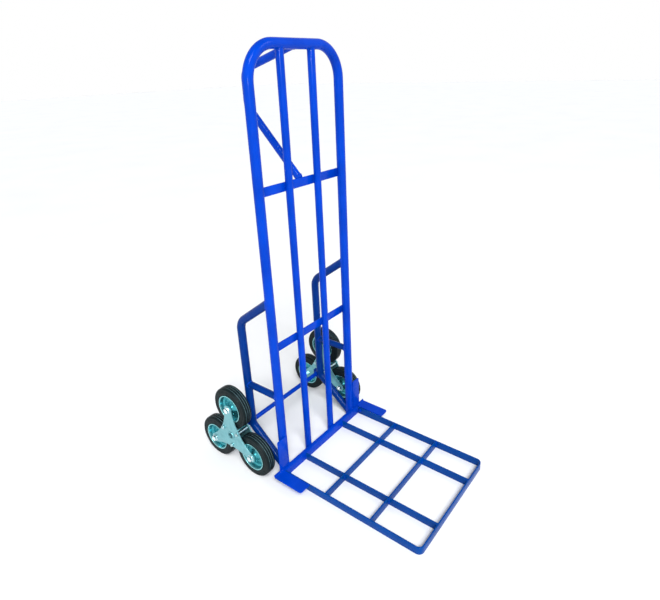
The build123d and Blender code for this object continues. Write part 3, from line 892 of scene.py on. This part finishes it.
low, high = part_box("axle_circlips")
clip_r = (high.z - low.z) / 2
clip_in = AXLE_R * 0.95
clip_angles = [CLIP_GAP / 2 + (2 * pi - CLIP_GAP) * k / 60 for k in range(61)]
clip_angles_back = [2 * pi - CLIP_GAP / 2 - (2 * pi - CLIP_GAP) * k / 60 for k in range(61)]
clip_outline = [(clip_r * cos(a), clip_r * sin(a)) for a in clip_angles]
clip_outline += [(clip_in * cos(a), clip_in * sin(a)) for a in clip_angles_back]
clip = plate([clip_outline], CLIP_W, 0.0002)
clip_places = (high.x - CLIP_W / 2, low.x + CLIP_W / 2)
clips = [moved(clip, Matrix.Translation((x, AXLE.y, AXLE.z))) for x in clip_places]
piece("circlip_pair", joined(clips), BRIGHT, "frame", ["axle_circlips"])

# ---- toe grid ----
grid_low, grid_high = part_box("grid_rim")
GRID_H = grid_high.z - grid_low.z
mid_z = (grid_high.z + grid_low.z) / 2
inset = BAR_T / 2
left_x, right_x, front_y = grid_low.x + inset, grid_high.x - inset, grid_low.y + inset
rim_corners = [(left_x, grid_high.y, mid_z), (left_x, front_y, mid_z),
               (right_x, front_y, mid_z), (right_x, grid_high.y, mid_z)]
rim_bar = flat_bar(bent(rim_corners, GRID_CORNER), GRID_H, BAR_T)
# The grid's rim bar takes the darker copy of the blue paint: painted shade.
piece("grid_rim_bar", rim_bar, SHADED_GRID_BLUE, "toe_grid", ["grid_rim"])
grid_welds = []
seam_down, seam_up = Z_AXIS * (GRID_H / 2 - 0.002), Z_AXIS * (GRID_H / 2 - 0.001)
bars = {n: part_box(n) for n in ("grid_rear_bar", "grid_long_bar_left", "grid_long_bar_right",
                               "grid_cross_bar_rear", "grid_cross_bar_front")}
for name, (low, high) in bars.items():
    along_x = high.x - low.x > high.y - low.y
    middle = (low + high) / 2
    ends = ((low.x, middle.y), (high.x, middle.y)) if along_x else ((middle.x, low.y), (middle.x, high.y))
    path = [Vector((*end, mid_z)) for end in ends]
    # The rear bar keeps the full blue because it faces the light; the grid's other bars take the darker
    # copy, painted shade.
    paint = BLUE if name == "grid_rear_bar" else SHADED_GRID_BLUE
    piece(f"{name}_flat", flat_bar(path, GRID_H, BAR_T), paint, "toe_grid", [name])
    for end, inward in zip(path, (1, -1)):
        for turn in (-1, 1):
            along, aside = inward * SEAM_LIFT, turn * (inset + 0.0004)
            spot = end + Vector((along, aside, 0) if along_x else (aside, along, 0))
            grid_welds.append(bead([spot - seam_down, spot + seam_up]))
for long_name in ("grid_long_bar_left", "grid_long_bar_right"):
    for cross_name in ("grid_cross_bar_rear", "grid_cross_bar_front"):
        x = (bars[long_name][0].x + bars[long_name][1].x) / 2
        y = (bars[cross_name][0].y + bars[cross_name][1].y) / 2
        for dx in (-1, 1):
            for dy in (-1, 1):
                spot = Vector((x + dx * (inset + 0.0003), y + dy * (inset + 0.0003), mid_z))
                grid_welds.append(bead([spot - seam_down, spot + seam_up], THIN_BEAD_R))
piece("grid_welds", joined(grid_welds), WELD, "toe_grid")


# ---- one wheel, centred on its own hub ----
def tyre_mesh():
    half = TYRE_HALF
    groove = 0.0009
    crown = []
    for at in (-0.009, 0.0, 0.009):
        top = WHEEL_R - (at / half) ** 2 * 0.0009
        steps = [(groove * 1.7, 0.0001), (groove, 0.0001), (groove * 0.6, GROOVE_DEPTH)]
        crown += [(at - reach, top - drop) for reach, drop in steps]
        crown += [(at + reach, top - drop) for reach, drop in steps[::-1]]
    shoulder = [(-0.0135, WHEEL_R - 0.0006), (-0.0165, WHEEL_R - 0.0019), (-0.0186, WHEEL_R - 0.0048),
                (-half + 0.0004, WHEEL_R - 0.0082)]
    wall = [(-half + 0.0004, WHEEL_R - 0.0110), (-half + 0.0011, WHEEL_R - 0.0118),
            (-half + 0.0011, WHEEL_R - 0.0128), (-half, WHEEL_R - 0.0136), (-half, 0.0575),
            (-half + 0.0012, 0.0558), (-half + 0.0012, TYRE_INSIDE)]
    left = wall[::-1] + shoulder[::-1]
    right = [(-x, r) for x, r in left[::-1]]
    return lathe(left + crown + right, 128)


def rim_mesh():
    """One pressed half: rolled lip, deep dish, flat web and the collar on the hub."""
    face = [(0.0206, 0.0542), (0.0208, 0.0506), (0.0060, 0.0474), (0.0022, 0.0415), (0.0022, 0.0235),
            (0.0085, 0.0165), (0.0142, 0.0128)]
    turns = [0.0018, 0.004, 0.005, 0.004, 0.004]
    outer = bent([(x, r, 0) for x, r in face], turns, 12)
    back = bent([(x - RIM_T, r - (0.0 if x > 0.01 else 0.0004), 0) for x, r in face], turns, 12)
    profile = [(p.x, p.y) for p in outer] + [(max(p.x, 0.0003), p.y) for p in back[::-1]]
    return lathe(profile, 96)


def rivets():
    """Domed heads that hold the two rim halves together."""
    head = turned([(0.0020, 0.0), (0.0020, 0.0028), (0.0038, 0.0020), (0.0040, 0.0)], [0.0002, 0.0010],
                  closed=False, count=24)
    return joined([
        moved(head, Matrix.Translation((0, RIVET_CIRCLE * cos(a), RIVET_CIRCLE * sin(a))))
        for a in (2 * pi * (k + 0.5) / 6 for k in range(6))
    ])


tyre = tyre_mesh()
half_rim = rim_mesh()
rivet_ring = rivets()
flip = to_side(-1)
rim = joined([half_rim, moved(half_rim, flip), rivet_ring, moved(rivet_ring, flip)])
hub_low, hub_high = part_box("wheel_hub_right_top")
hub_half = (hub_high.x - hub_low.x) / 2
hub_r = (hub_high.z - hub_low.z) / 2
wheel_hub = sleeve(-hub_half, hub_half, WHEEL_BORE_R, hub_r, 0.0006)


# ---- star plate outline, round its centre ----
def three_point_arc(a, b, c, count):
    """Points on the circle through a, b and c, from a to c."""
    (ax, ay), (bx, by), (cx, cy) = a, b, c
    d = 2 * (ax * (by - cy) + bx * (cy - ay) + cx * (ay - by))
    ux = ((ax**2 + ay**2) * (by - cy) + (bx**2 + by**2) * (cy - ay) + (cx**2 + cy**2) * (ay - by)) / d
    uy = ((ax**2 + ay**2) * (cx - bx) + (bx**2 + by**2) * (ax - cx) + (cx**2 + cy**2) * (bx - ax)) / d
    centre = Vector((ux, uy, 0))
    spokes = [Vector((*p, 0)) - centre for p in (a, b, c)]
    reach = spokes[0].length
    first = [spokes[0].slerp(spokes[1], k / count) * reach for k in range(count)]
    second = [spokes[1].slerp(spokes[2], k / count) * reach for k in range(count)]
    return [((centre + s).x, (centre + s).y) for s in first + second]


def around(radius, degrees):
    """A place round the star's centre: Y and Z."""
    return radius * cos(radians(degrees)), radius * sin(radians(degrees))


def shifted(a, b, sign=1):
    return a[0] + sign * b[0], a[1] + sign * b[1]


star_outline = []
for angle in ARM_ANGLES:
    centre = around(STAR_ARM, angle)
    across = around(PLATE_TIP_R, angle + 90)
    star_outline += three_point_arc(
        shifted(centre, across, -1), around(STAR_ARM + PLATE_TIP_R, angle), shifted(centre, across), 12)
    star_outline += three_point_arc(
        shifted(centre, across), around(PLATE_WAIST, angle + 60),
        shifted(around(STAR_ARM, angle + 120), around(PLATE_TIP_R, angle + 30)), 14)
star_holes = [ring_outline(HUB_R)]
for angle in ARM_ANGLES:
    star_holes.append(ring_outline(BOLT_HOLE_R, around(STAR_ARM, angle)))
    star_holes.append(ring_outline(TIE_HOLE_R, around(TIE_CIRCLE, angle + 60)))

# ---- the two stars ----
for name, side in SIDES.items():
    body = f"star_{name}"
    centre = joint_at[body]
    mirror = to_side(side)
    spot = mirror @ Matrix.Translation((0, centre.y, centre.z))
    inner_x = min(abs(c.x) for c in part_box(f"star_plate_inner_{name}"))
    outer_x = max(abs(c.x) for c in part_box(f"star_plate_outer_{name}"))
    star_mesh = plate([star_outline] + star_holes, SHEET_T, 0.0006)
    for which, x in (("inner", inner_x + SHEET_T / 2), ("outer", outer_x - SHEET_T / 2)):
        piece(f"star_{which}_plate_{name}", moved(star_mesh, spot @ Matrix.Translation((x, 0, 0))),
              PLATE, body, [f"star_plate_{which}_{name}"])

    hub_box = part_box(f"star_hub_{name}")
    hub_in = min(abs(c.x) for c in hub_box)
    hub_out = max(abs(c.x) for c in hub_box)
    bore = AXLE_R + 0.00008
    step_x = hub_out - HUB_RECESS
    hub = turned(
        [(hub_in, bore), (hub_in, HUB_R), (hub_out, HUB_R), (hub_out, HUB_RECESS_R),
         (step_x, HUB_RECESS_R), (step_x, bore)],
        [0.0008, 0.0008, 0.0010, 0.0006, 0.0004, 0.0004])
    piece(f"star_hub_tube_{name}", moved(hub, spot), PLATE, body, [f"star_hub_{name}"])

    welds = []
    for x in (inner_x - 0.0004, outer_x + 0.0004):
        ring = [(x, y, z) for y, z in ring_outline(HUB_R + 0.0008, count=48)]
        welds.append(bead(ring, HUB_BEAD_R, closed=True))
    piece(f"hub_welds_{name}", moved(joined(welds), spot), PLATE, body)

    ties, bolts, nuts = [], [], []
    tie = rod(inner_x + SHEET_T, outer_x - SHEET_T, TIE_R, (0.0004, 0.0004), 40)
    dome = turned([(0.0, 0.0), (0.0, TIE_HEAD_R), (0.0052, TIE_HEAD_R), (0.0079, 0.0042), (TIE_HEAD_H, 0.0)],
                  [0.0003, 0.0016, 0.0016], closed=False, count=40)
    head = hex_head(BOLT_HEX, BOLT_HEAD_H)
    washer = sleeve(0.0, FLAT_WASHER_T, BOLT_HOLE_R, FLAT_WASHER_R, 0.0004)
    nut = hex_head(BOLT_HEX, NUT_H, NUT_BORE_R)
    bolt_in = min(abs(c.x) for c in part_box(f"wheel_bolts_{name}"))
    shank = rod(inner_x, outer_x, BOLT_R, count=40)
    end = thread_end(BOLT_R, inner_x - bolt_in)
    for k, angle in enumerate(ARM_ANGLES):
        here = Matrix.Translation((0, *around(TIE_CIRCLE, angle + 60)))
        ties.append(moved(tie, here))
        ties.append(moved(dome, here @ Matrix.Translation((outer_x, 0, 0))))
        ties.append(moved(dome, here @ Matrix.Translation((inner_x, 0, 0)) @ TURN_ABOUT))
        here = Matrix.Translation((0, *around(STAR_ARM, angle)))
        spin = Matrix.Rotation(radians(HEX_TURNS[k]), 4, "X")
        bolts.append(moved(shank, here))
        bolts.append(moved(washer, here @ Matrix.Translation((outer_x, 0, 0))))
        bolts.append(moved(head, here @ Matrix.Translation((outer_x + FLAT_WASHER_T, 0, 0)) @ spin))
        bolts.append(moved(end, here @ Matrix.Translation((bolt_in, 0, 0))))
        nuts.append(moved(nut, here @ Matrix.Translation((inner_x, 0, 0)) @ TURN_ABOUT @ spin))
    piece(f"tie_bar_set_{name}", moved(joined(ties), spot), TIE, body, [f"tie_bars_{name}"])
    piece(f"wheel_bolt_set_{name}", moved(joined(bolts), spot), BRIGHT, body, [f"wheel_bolts_{name}"])
    piece(f"wheel_nut_set_{name}", moved(joined(nuts), spot), BRIGHT, body, [f"wheel_nuts_{name}"])

    for arm in ARMS:
        wheel = f"wheel_{name}_{arm}"
        place = Matrix.Translation(joint_at[wheel])
        piece(f"{wheel}_tyre", tyre, RUBBER, wheel, [f"tyre_{name}_{arm}"], place)
        piece(f"{wheel}_rim", rim, RIM, wheel, [f"rim_{name}_{arm}"], place)
        piece(f"{wheel}_hub", wheel_hub, BRIGHT, wheel, [f"wheel_hub_{name}_{arm}"], place)


# ---- floor, light, camera ----
def pale_floor(tree, shader):
    colour = ramp(tree, noise(tree, 1.2, 3.0), [(0.3, (0.89, 0.90, 0.91)), (0.7, (0.92, 0.93, 0.94))])
    tree.links.new(colour, shader.inputs["Base Color"])
    shader.inputs["Roughness"].default_value = 0.9
    shader.inputs["Specular IOR Level"].default_value = 0.1


floor_mesh = bpy.data.meshes.new("floor")
corners = [(x * FLOOR_HALF, y * FLOOR_HALF, FLOOR_Z) for x, y in ((-1, -1), (1, -1), (1, 1), (-1, 1))]
floor_mesh.from_pydata(corners, [], [(0, 1, 2, 3)])
floor = bpy.data.objects.new("floor", floor_mesh)
bpy.context.scene.collection.objects.link(floor)
floor_mesh.materials.append(material("floor", None, pale_floor))

world = bpy.data.worlds.new("studio")
bpy.context.scene.world = world
world.use_nodes = True
sky = world.node_tree
where = node(sky, "ShaderNodeTexCoord")
parts = node(sky, "ShaderNodeSeparateXYZ")
sky.links.new(where.outputs["Generated"], parts.inputs["Vector"])
sky_colour = ramp(sky, parts.outputs["Z"], [(0.16, (1.0, 1.0, 1.0)), (0.28, (0.86, 0.87, 0.88)),
                                            (0.45, (0.86, 0.87, 0.88)), (0.80, (0.26, 0.27, 0.28))])
sky.links.new(sky_colour, sky.nodes["Background"].inputs["Color"])
sky.nodes["Background"].inputs["Strength"].default_value = 1.0


def area_light(name, place, target, size, power):
    light = bpy.data.lights.new(name, "AREA")
    light.shape = "RECTANGLE"
    light.size, light.size_y = size
    light.energy = power
    made = bpy.data.objects.new(name, light)
    made.location = place
    made.rotation_euler = (Vector(target) - Vector(place)).to_track_quat("-Z", "Y").to_euler()
    bpy.context.scene.collection.objects.link(made)


sun = bpy.data.lights.new("sun", "SUN")
sun.energy = 2.4
sun.angle = radians(24)
sun_at = bpy.data.objects.new("sun", sun)
sun_at.rotation_euler = Vector((0.50, 0.62, -0.95)).to_track_quat("-Z", "Y").to_euler()
bpy.context.scene.collection.objects.link(sun_at)
area_light("fill", (2.6, -3.4, 3.6), (0, 0, 0.7), (1.2, 1.2), 30)
area_light("front", (-1.45, -1.22, 1.50), (0, 0, 0.9), (0.22, 0.22), 13)

camera = bpy.data.cameras.new("camera")
camera.lens = 27.46
camera.sensor_width = 36.0
camera.shift_x = -0.0223
camera.shift_y = -0.0365
camera.clip_end = 100
eye = bpy.data.objects.new("camera", camera)
bpy.context.scene.collection.objects.link(eye)
yaw, pitch, roll = radians(52.21), radians(22.47), radians(-1.965)
aim = Matrix.Rotation(-yaw, 4, "Z") @ Matrix.Rotation(pi / 2 - pitch, 4, "X") @ Matrix.Rotation(roll, 4, "Z")
eye.matrix_world = Matrix.Translation((-1.2183, PLANE_Y - 1.1000, 1.3913)) @ aim
bpy.context.scene.camera = eye
bpy.context.scene.view_settings.view_transform = "Standard"
bpy.context.scene.view_settings.look = "None"
